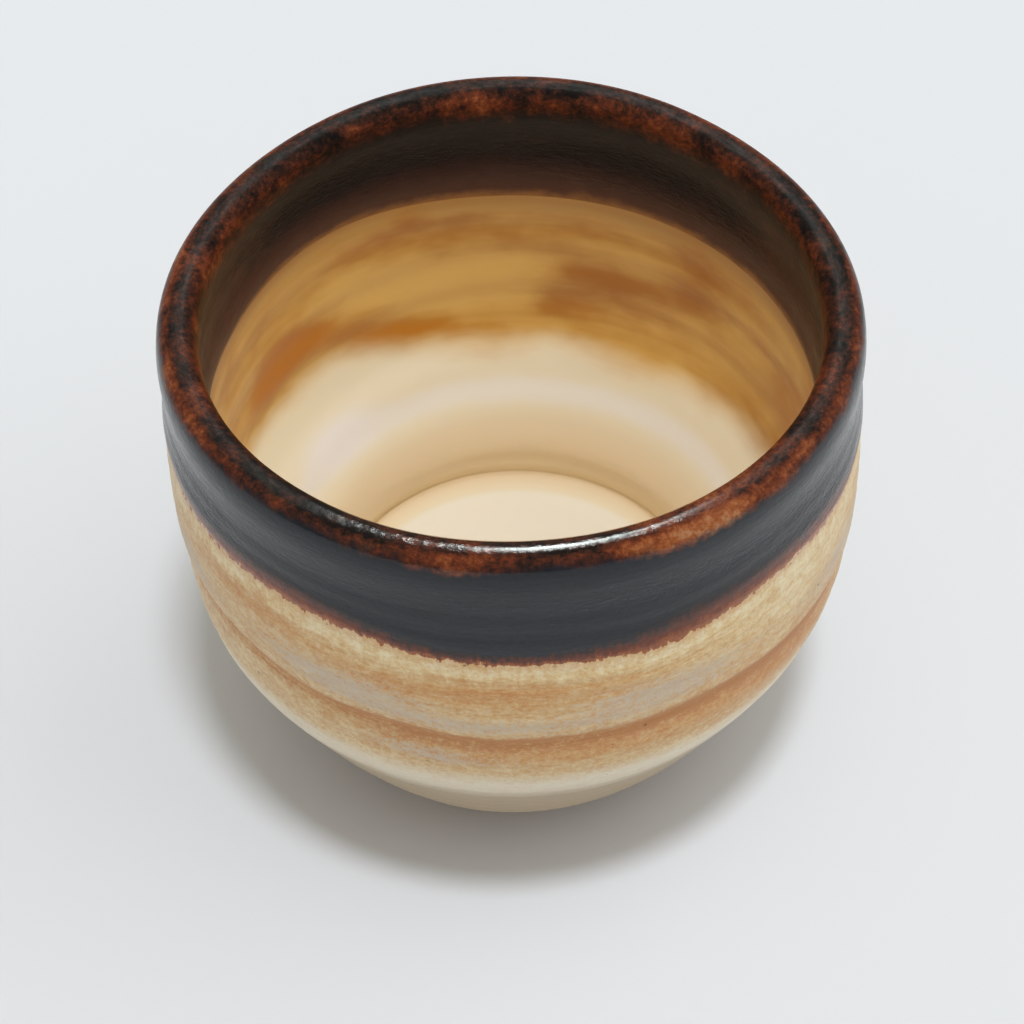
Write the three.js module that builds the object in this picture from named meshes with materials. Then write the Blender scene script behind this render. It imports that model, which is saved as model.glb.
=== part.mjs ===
import * as THREE from "three";
import { mergeVertices } from "three/addons/utils/BufferGeometryUtils.js";

// A small footed cup of thrown stoneware: a clay body, a luted foot ring and three coats of glaze.
// Millimetres, +Z up. The foot stands on z = 0 and the cup's axis is Z.

// Lip and neck, in clay
const cupHeight = 54.1;
const lipDiameter = 66;
const lipThickness = 3.1;
const lipCrestInset = 1.35; // from the outer face of the lip to its crest
const lipRounding = 2.6;
const neckDrop = 6.4; // from the crest to the narrow place under the lip
const neckDepth = 0.05;
const neckWall = 2.6;

// Wall, in clay
const bellyDiameter = 67.3;
const wallThickness = 3.8;
const grooveHeight = 29.6;
const grooveDepth = 0.55;
const grooveWidth = 3.4;
const bulgeSetback = 0.5; // the wall under the groove stands back from the ridge above it
const hipDiameter = 64.2;
const hipHeight = 21.4;
const hipWall = 4.2;
const shelfRise = 1.9; // the wall's foot inside is this far above the hip
const heelDiameter = 50.4;
const heelRise = 3.8; // height of the heel above the top of the foot
const heelWall = 5;
const throwingRingDrop = 17.6; // finger groove inside, below the crest
const throwingRingDepth = 0.3;

// Floor and foot, in clay
const floorThickness = 2.8;
const floorDish = 0.5;
const wellDepth = 6.6; // steep part round the floor
const wellFlare = 0.35;
const wellCorner = 1.65; // rounding between the well and the floor
const footDiameter = 35;
const footHeight = 4;
const footFlare = 0.8; // the foot is this much wider at its top
const footWidth = 3.8;
const footChamfer = 0.5;

// Glaze
const rimGlaze = 0.5;
const bodyGlaze = 0.35;
const linerGlaze = 0.35;
const glazeEdge = 0.25; // thickness where two coats meet, and at the bare heel
const dipOutside = 11.8; // from the crest down to the lower edge of the dark glaze
const dipInside = 13.1;
const dipWave = 0.9; // the dipped edge wanders up and down by about this much
const dipShare = 0.35; // where the dipped edge lies between the belly's radius and the neck's

// Hand-thrown irregularity at the lip
const ovality = 0.15; // wider left to right
const lipWave = 0.3; // higher at the front and the back

// Smoothness
const segments = 48;
const rowsPerSpan = 2;

const turn = 2 * Math.PI;
const lerp = THREE.MathUtils.lerp;
const smoothstep = THREE.MathUtils.smoothstep;

// One line runs from the foot joint up the outside, over the lip and down to the middle of the floor.
function clayProfile() {
  const lipRadius = lipDiameter / 2;
  const lipSpring = cupHeight - lipRounding;
  const crestRadius = lipRadius - lipCrestInset;
  const neckRadius = lipRadius - neckDepth;
  const bellyRadius = bellyDiameter / 2;
  const dipRadius = lerp(bellyRadius, neckRadius, dipShare);
  const dipHeight = cupHeight - dipOutside;
  const ridgeHeight = grooveHeight + grooveWidth / 2;
  const hipRadius = hipDiameter / 2;
  const heelRadius = heelDiameter / 2;
  const heelHeight = footHeight + heelRise;
  const footTopRadius = footDiameter / 2 + footFlare;
  const innerRadius = bellyRadius - wallThickness;
  const throatRadius = neckRadius - neckWall;
  const shelfRadius = hipRadius - hipWall;
  const wellRadius = heelRadius - heelWall;
  const floorHeight = footHeight + floorThickness;
  const wellTop = floorHeight + wellDepth;

  const knots = [];
  const marks = {};
  const add = (radius, height, mark) => {
    if (mark) marks[mark] = knots.length;
    knots.push(new THREE.Vector2(radius, height));
  };

  add(footTopRadius, footHeight);
  add(lerp(footTopRadius, heelRadius, 0.7), lerp(footHeight, heelHeight, 0.3));
  add(heelRadius, heelHeight, "heel");
  add(lerp(heelRadius, hipRadius, 0.5), lerp(heelHeight, hipHeight, 0.48));
  add(hipRadius, hipHeight);
  add(bellyRadius - bulgeSetback, grooveHeight - grooveWidth);
  add(bellyRadius - grooveDepth, grooveHeight);
  add(bellyRadius, ridgeHeight);
  add(bellyRadius, lerp(ridgeHeight, dipHeight, 0.55));
  add(dipRadius, dipHeight, "dipOutside");
  add(neckRadius, cupHeight - neckDrop);
  for (let angle = 0; angle <= 180; angle += 45) {
    const across = Math.cos(THREE.MathUtils.degToRad(angle));
    const half = across > 0 ? lipCrestInset : lipThickness - lipCrestInset;
    add(crestRadius + half * across, lipSpring + lipRounding * Math.sin(THREE.MathUtils.degToRad(angle)));
  }
  add(throatRadius, cupHeight - neckDrop);
  add(lerp(innerRadius, throatRadius, dipShare), cupHeight - dipInside, "dipInside");
  add(innerRadius + throwingRingDepth, cupHeight - throwingRingDrop);
  add(innerRadius, lerp(cupHeight - throwingRingDrop, hipHeight, 0.5));
  add(lerp(innerRadius, shelfRadius, 0.45), hipHeight + shelfRise);
  add(lerp(wellRadius, shelfRadius, 0.5), lerp(wellTop, hipHeight, 0.55));
  add(wellRadius + wellFlare, wellTop);
  add(wellRadius, lerp(floorHeight, wellTop, 0.5));
  add(wellRadius - wellCorner, floorHeight + floorDish);
  add(0, floorHeight);
  return { curve: new THREE.SplineCurve(knots), spans: knots.length - 1, marks };
}

const { curve: profile, spans, marks } = clayProfile();
const lastRow = spans * rowsPerSpan;
const markRow = (mark) => marks[mark] * rowsPerSpan;

// The dark glaze was dipped by hand, so its edge is not level. Rows beside the edge give way to it.
function dippedParameter(row, angle) {
  const wander = 0.7 * Math.sin(3 * angle + 1.73) + 0.45 * Math.sin(7 * angle - 0.16);
  let parameter = row / lastRow;
  for (const mark of ["dipOutside", "dipInside"]) {
    const edge = markRow(mark);
    const near = Math.max(0, 1 - Math.abs(row - edge) / (rowsPerSpan + 1));
    const above = profile.getPoint((edge + 1) / lastRow);
    const below = profile.getPoint((edge - 1) / lastRow);
    const climbPerRow = (above.y - below.y) / 2;
    parameter += (near * wander * dipWave) / (climbPerRow * lastRow);
  }
  return parameter;
}

// A point of the clay's surface, or of the coat that lies on it, at this row and angle.
function surfacePoint(row, angle, coat) {
  const parameter = row === lastRow ? 1 : dippedParameter(row, angle);
  const point = profile.getPoint(parameter);
  const along = profile.getTangent(parameter);
  const radius = row === lastRow ? 0 : point.x + along.y * coat;
  const height = row === lastRow ? point.y + coat : point.y - along.x * coat;
  const share = smoothstep(height, hipHeight, cupHeight);
  const out = radius + share * ovality * Math.cos(2 * angle);
  const up = height - share * lipWave * (Math.cos(2 * angle) + 0.3 * Math.sin(3 * angle));
  return new THREE.Vector3(out * Math.cos(angle), out * Math.sin(angle), up);
}

function ring(row, coat) {
  return Array.from({ length: segments }, (_, i) => surfacePoint(row, (turn * i) / segments, coat));
}

// Facets between neighbouring rings. Turned over, the same facets face the other way.
function band(rings, turnedOver = false) {
  const facets = [];
  for (let k = 0; k + 1 < rings.length; k++) {
    for (let i = 0; i < segments; i++) {
      const j = (i + 1) % segments;
      facets.push([rings[k][i], rings[k][j], rings[k + 1][j]]);
      facets.push([rings[k][i], rings[k + 1][j], rings[k + 1][i]]);
    }
  }
  return turnedOver ? facets.map(([a, b, c]) => [a, c, b]) : facets;
}

function fan(rim, middle, turnedOver = false) {
  const facets = rim.map((point, i) => [point, rim[(i + 1) % segments], middle]);
  return turnedOver ? facets.map(([a, b, c]) => [a, c, b]) : facets;
}

function closedGeometry(facets) {
  const geometry = new THREE.BufferGeometry().setFromPoints(facets.flat());
  return mergeVertices(geometry, 1e-4);
}

function piece(name, geometry, color, roughness) {
  geometry.computeVertexNormals();
  const material = new THREE.MeshStandardMaterial({ color, roughness, metalness: 0 });
  const mesh = new THREE.Mesh(geometry, material);
  mesh.name = name;
  return mesh;
}

// The thrown body is closed by its flat underside, which the foot ring is luted to.
function clayBody() {
  const rings = [];
  for (let row = 0; row < lastRow; row++) rings.push(ring(row, 0));
  const floorMiddle = surfacePoint(lastRow, 0, 0);
  const undersideMiddle = new THREE.Vector3(0, 0, footHeight);
  return closedGeometry([
    ...band(rings),
    ...fan(rings.at(-1), floorMiddle),
    ...fan(rings[0], undersideMiddle, true),
  ]);
}

// A coat of glaze lies on the clay between two rows and thins to a common edge at its ends.
function glazeCoat(firstRow, endRow, thickness) {
  const reachesMiddle = endRow === lastRow;
  const finalRow = reachesMiddle ? endRow - 1 : endRow;
  const inner = [];
  const outer = [];
  for (let row = firstRow; row <= finalRow; row++) {
    const isEdge = row === firstRow || row === endRow;
    inner.push(ring(row, 0));
    outer.push(ring(row, isEdge ? glazeEdge : thickness));
  }
  const facets = [...band(outer), ...band(inner, true), ...band([inner[0], outer[0]])];
  if (reachesMiddle) {
    facets.push(...fan(outer.at(-1), surfacePoint(lastRow, 0, thickness)));
    facets.push(...fan(inner.at(-1), surfacePoint(lastRow, 0, 0), true));
  } else {
    facets.push(...band([inner.at(-1), outer.at(-1)], true));
  }
  return closedGeometry(facets);
}

// The foot is a turned ring with broken edges, bare of glaze.
function footRing() {
  const outside = footDiameter / 2;
  const inside = outside - footWidth;
  const loop = [
    [inside + footChamfer, 0],
    [outside - footChamfer, 0],
    [outside, footChamfer],
    [outside + footFlare, footHeight],
    [inside - footFlare / 2, footHeight],
    [inside, footChamfer],
    [inside + footChamfer, 0],
  ];
  const points = loop.map(([radius, height]) => new THREE.Vector2(radius, height));
  const geometry = new THREE.LatheGeometry(points, segments).rotateX(Math.PI / 2);
  geometry.deleteAttribute("normal");
  geometry.deleteAttribute("uv");
  return mergeVertices(geometry, 1e-4);
}

const cup = new THREE.Group();
cup.add(
  piece("clay_body", clayBody(), 0xa98660, 0.85),
  piece("foot_ring", footRing(), 0x9c7d5a, 0.9),
  piece("rim_glaze", glazeCoat(markRow("dipOutside"), markRow("dipInside"), rimGlaze), 0x34302f, 0.3),
  piece("body_glaze", glazeCoat(markRow("heel"), markRow("dipOutside"), bodyGlaze), 0xc9a774, 0.4),
  piece("liner_glaze", glazeCoat(markRow("dipInside"), lastRow, linerGlaze), 0xdcc79d, 0.35),
);

export default cup;
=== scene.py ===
import math
from functools import lru_cache

import bmesh
import bpy
from mathutils import Matrix, Vector


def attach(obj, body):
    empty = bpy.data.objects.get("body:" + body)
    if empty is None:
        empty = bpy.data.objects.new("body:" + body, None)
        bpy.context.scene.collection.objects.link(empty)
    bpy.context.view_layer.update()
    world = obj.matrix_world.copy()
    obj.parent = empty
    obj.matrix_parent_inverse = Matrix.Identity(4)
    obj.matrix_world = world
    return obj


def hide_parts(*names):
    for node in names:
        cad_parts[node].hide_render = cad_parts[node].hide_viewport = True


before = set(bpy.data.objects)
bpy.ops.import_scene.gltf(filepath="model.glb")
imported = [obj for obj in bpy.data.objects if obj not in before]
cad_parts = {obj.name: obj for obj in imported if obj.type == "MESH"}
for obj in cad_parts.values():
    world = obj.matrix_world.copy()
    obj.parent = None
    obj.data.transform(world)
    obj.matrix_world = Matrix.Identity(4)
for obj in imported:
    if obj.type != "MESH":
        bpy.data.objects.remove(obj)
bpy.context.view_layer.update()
scene = bpy.context.scene
scene.view_settings.view_transform = "Standard"

mm = 0.001
fullTurn = 2 * math.pi
print("frame loaded with nodes", ", ".join(sorted(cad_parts)))

# The thrown form in millimetres. The sizes are those of the CAD part,
# apart from the crest of the lip, which is flatter and lies further in.
thrown = {
    "height": 54.1,
    "lipDiameter": 66.0,
    "lipThickness": 3.1,
    "lipCrestInset": 1.75,
    "lipRounding": 2.6,
    "lipFlat": 0.45,  # the crest is flattened by this much
    "neckDrop": 6.4,
    "neckDepth": 0.05,
    "neckWall": 2.6,
    "bellyDiameter": 67.3,
    "wallThickness": 3.8,
    "grooveHeight": 29.6,
    "grooveDepth": 0.55,
    "grooveWidth": 3.4,
    "bulgeSetback": 0.5,
    "hipDiameter": 64.2,
    "hipHeight": 21.4,
    "hipWall": 4.2,
    "shelfRise": 1.9,
    "heelDiameter": 50.4,
    "heelRise": 3.8,
    "heelWall": 5.0,
    "ringDrop": 17.6,
    "ringDepth": 0.3,
    "floorThickness": 2.8,
    "floorDish": 0.5,
    "wellDepth": 6.6,
    "wellFlare": 0.35,
    "wellCorner": 1.65,
    "footDiameter": 35.0,
    "footHeight": 4.0,
    "footFlare": 0.8,
    "dipOutside": 11.8,
    "dipInside": 13.1,
    "dipShare": 0.35,
    "ovality": 0.15,
    "lipWave": 0.3,
    "spinSteps": 360,
}

# Hand marks round the cup: (degrees, spread in degrees, rise in millimetres)
# For lean the last value is how far the top of the lip falls inward per millimetre.
handMarks = {
    "dipOutside": [
        (-165, 8, 0.4), (-132, 14, 0.45), (-100, 8, -0.75), (-85, 8, -0.7), (-68, 8, -1.5), (-55, 6, -0.4),
        (-42, 8, -0.1), (-25, 8, -0.4), (20, 12, -0.5), (60, 14, 0.4), (95, 10, -0.7), (140, 15, 0.5),
    ],
    "dipInside": [
        (130, 16, 1.0), (92, 22, -0.25), (165, 10, -0.45), (10, 14, -0.4), (-60, 12, 0.5), (-115, 16, -0.4),
    ],
    "crest": [(-75, 40, 0.2), (90, 50, 0.35), (130, 25, -0.2)],
    "lean": [(90, 30, 0.2)],
    "groove": [
        (-145, 16, 1.3), (-110, 8, 0.75), (-80, 9, 0.45), (-57, 10, 0.75), (-30, 12, 0.4),
        (40, 15, -0.7), (100, 14, 0.6),
    ],
    "heel": [(-150, 20, 0.5), (-95, 15, -0.4), (-40, 18, 0.4), (30, 20, -0.5), (110, 18, 0.5)],
}
# How far above and below its level each mark is felt
markReach = {"dipOutside": 7.0, "dipInside": 8.0, "groove": 9.0, "heel": 5.0, "crest": 9.0}


def between(low, high, share):
    return low + (high - low) * share


def easeStep(low, high, value):  # 0 below low, 1 above high, smooth between
    share = min(max((value - low) / (high - low), 0.0), 1.0)
    return share * share * (3 - 2 * share)


def thrownLine(size):  # up the outside from the foot, over the lip and down to the middle of the floor
    top = size["height"]
    lipRadius = size["lipDiameter"] / 2
    crestRadius = lipRadius - size["lipCrestInset"]
    neckRadius = lipRadius - size["neckDepth"]
    neckHeight = top - size["neckDrop"]
    throatRadius = neckRadius - size["neckWall"]
    bellyRadius = size["bellyDiameter"] / 2
    innerRadius = bellyRadius - size["wallThickness"]
    dipHeight = top - size["dipOutside"]
    groove = size["grooveHeight"]
    ridge = groove + size["grooveWidth"] / 2
    hipRadius = size["hipDiameter"] / 2
    hip = size["hipHeight"]
    shelfRadius = hipRadius - size["hipWall"]
    heelRadius = size["heelDiameter"] / 2
    footTop = size["footHeight"]
    heel = footTop + size["heelRise"]
    footRadius = size["footDiameter"] / 2 + size["footFlare"]
    wellRadius = heelRadius - size["heelWall"]
    floor = footTop + size["floorThickness"]
    wellTop = floor + size["wellDepth"]
    ringHeight = top - size["ringDrop"]
    knots = []
    marks = {}

    def passThrough(radius, height, mark=None):
        if mark:
            marks[mark] = len(knots)
        knots.append(Vector((radius, height)))

    passThrough(footRadius, footTop)
    passThrough(between(footRadius, heelRadius, 0.7), between(footTop, heel, 0.3))
    passThrough(heelRadius, heel, "heel")
    passThrough(between(heelRadius, hipRadius, 0.5), between(heel, hip, 0.48))
    passThrough(hipRadius, hip)
    passThrough(bellyRadius - size["bulgeSetback"], groove - size["grooveWidth"])
    passThrough(bellyRadius - size["grooveDepth"], groove, "groove")
    passThrough(bellyRadius, ridge)
    passThrough(bellyRadius, between(ridge, dipHeight, 0.55))
    passThrough(between(bellyRadius, neckRadius, size["dipShare"]), dipHeight, "dipOutside")
    passThrough(neckRadius, neckHeight)
    for degrees in range(0, 181, 45):
        across = math.cos(math.radians(degrees))
        half = size["lipCrestInset"] if across > 0 else size["lipThickness"] - size["lipCrestInset"]
        height = top - size["lipRounding"] * (1 - math.sin(math.radians(degrees)))
        if degrees == 90:
            passThrough(crestRadius, height - size["lipFlat"], "crest")
        else:
            passThrough(crestRadius + half * across, height)
    passThrough(throatRadius, neckHeight)
    passThrough(between(innerRadius, throatRadius, size["dipShare"]), top - size["dipInside"], "dipInside")
    passThrough(innerRadius + size["ringDepth"], ringHeight)
    passThrough(innerRadius, between(ringHeight, hip, 0.5))
    passThrough(between(innerRadius, shelfRadius, 0.45), hip + size["shelfRise"])
    passThrough(between(wellRadius, shelfRadius, 0.5), between(wellTop, hip, 0.55), "shelf")
    passThrough(wellRadius + size["wellFlare"], wellTop, "wellTop")
    passThrough(wellRadius, between(floor, wellTop, 0.5))
    passThrough(wellRadius - size["wellCorner"], floor + size["floorDish"], "floorEdge")
    passThrough(0.0, floor)
    return knots, marks


knots, marks = thrownLine(thrown)
lastKnot = len(knots) - 1
markHeights = {mark: knots[place].y for mark, place in marks.items()}


@lru_cache(maxsize=None)
def alongLine(place):  # the point at this place on the line, and the line's direction there
    span = min(max(int(place), 0), lastKnot - 1)
    share = place - span
    before, start, end, after = (knots[min(max(span + k, 0), lastKnot)] for k in (-1, 0, 1, 2))
    leave = (end - before) / 2
    arrive = (after - start) / 2
    cubic = (start - end) * 2 + leave + arrive
    square = (end - start) * 3 - leave * 2 - arrive
    point = ((cubic * share + square) * share + leave) * share + start
    slope = (cubic * (3 * share) + square * 2) * share + leave
    return point, slope.normalized()


# Lengths along the line, so that rows can be spaced evenly and patterns follow the surface
lengthSteps = 40
lineLengths = [0.0]
for step in range(lastKnot * lengthSteps):
    stepStart = alongLine(step / lengthSteps)[0]
    stepEnd = alongLine((step + 1) / lengthSteps)[0]
    lineLengths.append(lineLengths[-1] + (stepEnd - stepStart).length)


def lengthTo(place):
    scaled = min(max(place, 0.0), lastKnot) * lengthSteps
    whole = min(int(scaled), lastKnot * lengthSteps - 1)
    return between(lineLengths[whole], lineLengths[whole + 1], scaled - whole)


@lru_cache(maxsize=None)
def fromCrest(place):  # millimetres from the crest of the lip, more than 0 outside and less inside
    return lengthTo(marks["crest"]) - lengthTo(place)


def rowsBetween(first, last, spacing):  # places on the line, about this many millimetres apart
    low, high = lengthTo(first), lengthTo(last)
    count = max(2, math.ceil((high - low) / spacing))
    rows = []
    whole = 0
    for k in range(count + 1):
        target = between(low, high, k / count)
        while whole < len(lineLengths) - 2 and lineLengths[whole + 1] < target:
            whole += 1
        step = lineLengths[whole + 1] - lineLengths[whole]
        rows.append((whole + (target - lineLengths[whole]) / step) / lengthSteps)
    rows[0], rows[-1] = first, last
    return rows


def turnedAway(degrees, centre):  # how far round the cup from the centre, -180 to 180
    return (degrees - centre + 180) % 360 - 180


@lru_cache(maxsize=None)
def swell(mark, degrees):  # how far the hand left this mark above or below its level
    return sum(
        rise * math.exp(-0.5 * (turnedAway(degrees, centre) / spread) ** 2)
        for centre, spread, rise in handMarks[mark]
    )


patchReach = 20  # a patch is nothing beyond this, as the sum of both squared distances in spreads


# Patches are (degrees, height, spread in degrees, spread in height, strength)
def softPatches(patches, degrees, height):
    total = 0.0
    for centre, level, spread, rise, strength in patches:
        away = (turnedAway(degrees, centre) / spread) ** 2 + ((height - level) / rise) ** 2
        if away < patchReach:
            total += strength * math.exp(-0.5 * away)
    return total


# What the wheel and the hand leave on the surface, in millimetres
wheelMarks = {
    "rippleOutside": 0.03,
    "rippleOutsideStep": 2.3,
    "rippleInside": 0.09,
    "rippleInsideStep": 5.1,
    "swayOutside": 0.6,
    "swayInside": 0.5,
    "calmLip": (5.0, 9.0),  # the ripples fade in over these distances from the crest
    "calmFloor": (4.0, 14.0),  # and over these radii on the floor
    "lipUneven": 0.09,
    "lipLean": -0.3,
    "leanReach": 1.6,
    "hipLean": -0.35,
    "hipLeanFrom": (4.0, 12.0),  # heights
    "hipLeanTo": (18.0, 28.0),
}


def surfacePoint(place, coat, angle):  # on the clay, or on a coat of this thickness
    point, slope = alongLine(place)
    outside = place < marks["crest"]
    run = fromCrest(place)
    awayFromLip = easeStep(*wheelMarks["calmLip"], abs(run))
    if outside:
        phase = fullTurn * run / wheelMarks["rippleOutsideStep"] + angle
        ripple = math.sin(phase + wheelMarks["swayOutside"] * math.sin(2 * angle))
        ripple *= wheelMarks["rippleOutside"] * awayFromLip
    else:
        phase = fullTurn * run / wheelMarks["rippleInsideStep"] + angle
        ripple = math.sin(phase + wheelMarks["swayInside"] * math.sin(3 * angle))
        ripple *= wheelMarks["rippleInside"] * awayFromLip * easeStep(*wheelMarks["calmFloor"], point.x)
    proud = coat + ripple
    radius = point.x + slope.y * proud
    height = point.y - slope.x * proud
    share = easeStep(thrown["hipHeight"], thrown["height"], height)
    radius += share * thrown["ovality"] * math.cos(2 * angle)
    height -= share * thrown["lipWave"] * (math.cos(2 * angle) + 0.3 * math.sin(3 * angle))
    uneven = wheelMarks["lipUneven"] * math.sin(5 * angle + 0.8) * math.sin(2 * angle + 0.3)
    height += (1 - awayFromLip) * uneven
    degrees = round(math.degrees(angle), 3)
    height += swell("lean", degrees) * run * math.exp(-((run / wheelMarks["leanReach"]) ** 2))
    for mark in ("heel", "groove", "dipOutside", "crest") if outside else ("dipInside", "crest"):
        reach = abs(point.y - markHeights[mark]) / markReach[mark]
        if reach < 1:
            height += swell(mark, degrees) * (0.5 + 0.5 * math.cos(math.pi * reach))
    if place >= lastKnot:
        radius = 0.0
    across = radius * math.cos(angle) + share * wheelMarks["lipLean"]
    if outside:
        onHip = easeStep(*wheelMarks["hipLeanFrom"], height)
        onHip *= 1 - easeStep(*wheelMarks["hipLeanTo"], height)
        across += wheelMarks["hipLean"] * onHip
    return Vector((across, radius * math.sin(angle), height))


patternRadius = thrown["bellyDiameter"] / 2  # patterns are wrapped round the cup at this radius
mergeDistance = 1e-4


# The section is (place on the line, coat, 1 at a corner that stays crisp).
# It is spun round the axis, and then the hand marks move each point.
def spinSection(section, closed, patchSets=((), (), ())):
    bm = bmesh.new()
    alongLayer = bm.verts.layers.float.new("along")
    coatLayer = bm.verts.layers.float.new("coat")
    cornerLayer = bm.verts.layers.int.new("corner")
    row = []
    for place, coat, corner in section:
        point, slope = alongLine(place)
        radius = 0.0 if place >= lastKnot else point.x + slope.y * coat
        vert = bm.verts.new((radius, 0.0, point.y - slope.x * coat))
        vert[alongLayer] = place
        vert[coatLayer] = coat
        vert[cornerLayer] = corner
        row.append(vert)
    for k in range(len(row) - 1):
        bm.edges.new((row[k], row[k + 1]))
    if closed:
        bm.edges.new((row[-1], row[0]))
    bmesh.ops.spin(
        bm, geom=bm.verts[:] + bm.edges[:], cent=(0, 0, 0), axis=(0, 0, 1), angle=fullTurn,
        steps=thrown["spinSteps"], use_merge=True,
    )
    bmesh.ops.remove_doubles(bm, verts=bm.verts, dist=mergeDistance)
    wrappedLayer = bm.verts.layers.float_vector.new("thrown")
    patchLayer = bm.verts.layers.float_vector.new("patches")
    for vert in bm.verts:
        angle = math.atan2(vert.co.y, vert.co.x)
        place = vert[alongLayer]
        around = (patternRadius * math.cos(angle), patternRadius * math.sin(angle))
        vert[wrappedLayer] = (*around, fromCrest(place))
        if vert[coatLayer] > 0:
            level = alongLine(place)[0].y
            vert[patchLayer] = [softPatches(patches, math.degrees(angle), level) for patches in patchSets]
        vert.co = surfacePoint(place, vert[coatLayer], angle)
    for edge in bm.edges:
        edge.smooth = not all(vert[cornerLayer] for vert in edge.verts)
    bm.verts.layers.float.remove(bm.verts.layers.float["along"])
    bm.verts.layers.float.remove(bm.verts.layers.float["coat"])
    bm.verts.layers.int.remove(bm.verts.layers.int["corner"])
    return bm


def finishPiece(bm, name, node, material):
    bmesh.ops.recalc_face_normals(bm, faces=bm.faces)
    for face in bm.faces:
        face.smooth = True
    bmesh.ops.scale(bm, vec=(mm, mm, mm), verts=bm.verts)
    mesh = bpy.data.meshes.new(name)
    bm.to_mesh(mesh)
    bm.free()
    piece = bpy.data.objects.new(name, mesh)
    scene.collection.objects.link(piece)
    mesh.materials.append(material)
    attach(piece, "root")
    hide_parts(node)
    print(name, "made with", len(mesh.polygons), "faces")
    return piece


# Shader maths: a wire is a socket, and sums on wires add Math nodes
class Wire:
    def __init__(self, finish, socket):
        self.finish = finish
        self.socket = socket

    def sum(self, operation, *terms):
        return self.finish.node("ShaderNodeMath", {"operation": operation}, dict(enumerate(terms)))

    def __add__(self, other):
        return self.sum("ADD", self, other)

    def __radd__(self, other):
        return self.sum("ADD", other, self)

    def __sub__(self, other):
        return self.sum("SUBTRACT", self, other)

    def __rsub__(self, other):
        return self.sum("SUBTRACT", other, self)

    def __mul__(self, other):
        return self.sum("MULTIPLY", self, other)

    def __rmul__(self, other):
        return self.sum("MULTIPLY", other, self)

    def __truediv__(self, other):
        return self.sum("DIVIDE", self, other)

    def __rtruediv__(self, other):
        return self.sum("DIVIDE", other, self)

    def __abs__(self):
        return self.sum("ABSOLUTE", self)


speckBlur = 0.04  # the soft edge of a speck, as a share of its cell


class Finish:
    def __init__(self, owner):  # a material or a world
        self.owner = owner
        owner.use_nodes = True
        self.tree = owner.node_tree
        self.tree.nodes.clear()

    def node(self, kind, settings=None, sockets=None, out=0):
        made = self.tree.nodes.new(kind)
        for key, value in (settings or {}).items():
            if key == "stops":
                self.setStops(made.color_ramp, value)
            else:
                setattr(made, key, value)
        for key, value in (sockets or {}).items():
            if isinstance(value, Wire):
                self.tree.links.new(value.socket, made.inputs[key])
            else:
                made.inputs[key].default_value = value
        return Wire(self, made.outputs[out]) if made.outputs else None

    def setStops(self, ramp, stops):
        while len(ramp.elements) < len(stops):
            ramp.elements.new(1.0)
        for element, (place, colour) in zip(ramp.elements, stops):
            element.position = place
            element.color = colour

    def wrapped(self):  # round the cup and along its section, in millimetres
        return self.node("ShaderNodeAttribute", {"attribute_name": "thrown"}, out="Vector")

    def patches(self):  # soft patches laid on the piece
        return self.node("ShaderNodeAttribute", {"attribute_name": "patches"}, out="Vector")

    def inPlace(self):  # the piece's own place in the cup, in millimetres
        place = self.node("ShaderNodeTexCoord", out="Object")
        return self.node("ShaderNodeVectorMath", {"operation": "SCALE"}, {0: place, "Scale": 1 / mm})

    def part(self, vector, axis):
        return self.node("ShaderNodeSeparateXYZ", sockets={0: vector}, out=axis)

    def stretch(self, vector, scales, shift=0.0):
        sockets = {0: vector, 1: scales, 2: (shift, shift, shift)}
        return self.node("ShaderNodeVectorMath", {"operation": "MULTIPLY_ADD"}, sockets)

    def cloud(self, vector, scales, shift=0.0, detail=3.0, rough=0.55, twist=0.0):  # about -0.5 to 0.5
        moved = self.stretch(vector, scales, shift)
        sockets = {"Vector": moved, "Scale": 1.0, "Detail": detail, "Roughness": rough, "Distortion": twist}
        return self.node("ShaderNodeTexNoise", sockets=sockets) - 0.5

    def specks(self, vector, perMm, size, share, shift=0.0):  # round spots on a share of the cells
        moved = self.stretch(vector, (perMm, perMm, perMm), shift)
        cell = {"Vector": moved, "Scale": 1.0}
        distance = self.node("ShaderNodeTexVoronoi", sockets=cell, out="Distance")
        chance = self.part(self.node("ShaderNodeTexVoronoi", sockets=cell, out="Color"), 0)
        reach = self.step(1 - share, 1.0, chance) * (size * perMm)
        return self.step(-speckBlur, speckBlur, reach - distance)

    def step(self, low, high, value):
        sockets = {"Value": value, "From Min": low, "From Max": high}
        return self.node("ShaderNodeMapRange", {"interpolation_type": "SMOOTHSTEP"}, sockets)

    def mix(self, mask, low, high):
        return self.node("ShaderNodeMix", {"data_type": "RGBA"}, {0: mask, 6: low, 7: high}, out=2)

    def ramp(self, value, stops):
        return self.node("ShaderNodeValToRGB", {"stops": stops}, {0: value})

    def surface(self, colour, roughness, height, distance, **fixed):
        bump = self.node(
            "ShaderNodeBump", sockets={"Strength": 1.0, "Distance": distance * mm, "Height": height}
        )
        sockets = {"Base Color": colour, "Roughness": roughness, "Normal": bump}
        sockets.update({key.replace("_", " "): value for key, value in fixed.items()})
        shader = self.node("ShaderNodeBsdfPrincipled", sockets=sockets)
        self.node("ShaderNodeOutputMaterial", sockets={"Surface": shader})
        return self.owner


def tone(red, green, blue):  # a colour as it looks on screen, 0 to 255, in linear light
    def linear(value):
        share = value / 255
        return share / 12.92 if share <= 0.04045 else ((share + 0.055) / 1.055) ** 2.4

    return (linear(red), linear(green), linear(blue), 1.0)


glazeIor = 1.5
edgeOutside = fromCrest(marks["dipOutside"])
edgeInside = fromCrest(marks["dipInside"])
grooveRun = fromCrest(marks["groove"])
heelRun = fromCrest(marks["heel"])

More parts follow.
